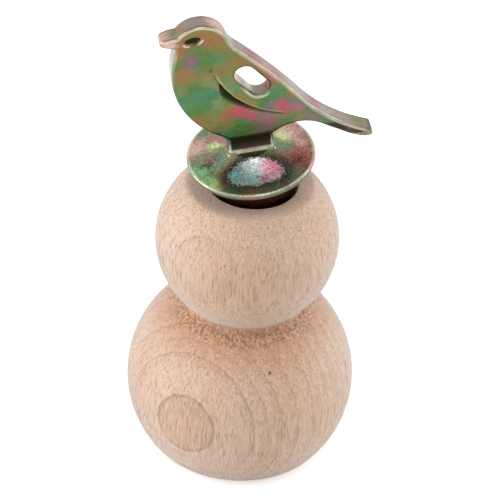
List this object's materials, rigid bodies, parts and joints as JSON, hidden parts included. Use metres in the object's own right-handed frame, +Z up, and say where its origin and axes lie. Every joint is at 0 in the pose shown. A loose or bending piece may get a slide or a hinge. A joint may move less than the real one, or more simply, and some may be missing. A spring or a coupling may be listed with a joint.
{
  "type": "friction bird call",
  "caption": "Twist-to-squeak bird call: a turned wooden body of stacked balls with a blind bore, and a loose cast metal key with a bird-shaped thumb blade and a tapered plug.",
  "frame": {"origin": "centre of the flat base of the turned body", "axes": "+Z up the body's turning axis, -X towards the beak of the bird blade, -Y towards the blade's front face"},
  "size_m": [0.038, 0.038, 0.0842],
  "materials": {
    "pale_hardwood": "bare wood straight off the lathe, fine vertical grain with short dark pores",
    "chromated_zinc": "glossy iridescent chromate over cast zinc, mostly olive green with teal, magenta and copper patches, lightly pitted",
    "rosin_powder": "packed amber powder, matt and crumbly"
  },
  "bodies": {
    "wooden_body": {"turned_body": "pale_hardwood"},
    "rosin": {"rosin_coat": "rosin_powder"},
    "key": {"bird_key": "chromated_zinc"}
  },
  "joints": [
    {"name": "key_lift", "type": "slide", "parent": "wooden_body", "child": "rosin", "axis": [-0.1216, -0.0984, 0.9877], "range_m": [0, 0.022]},
    {"name": "key_turn", "type": "hinge", "parent": "rosin", "child": "key", "pos_m": [0.00045, 0, 0.05091], "axis": [-0.1216, -0.0984, 0.9877], "continuous": true}
  ]
}
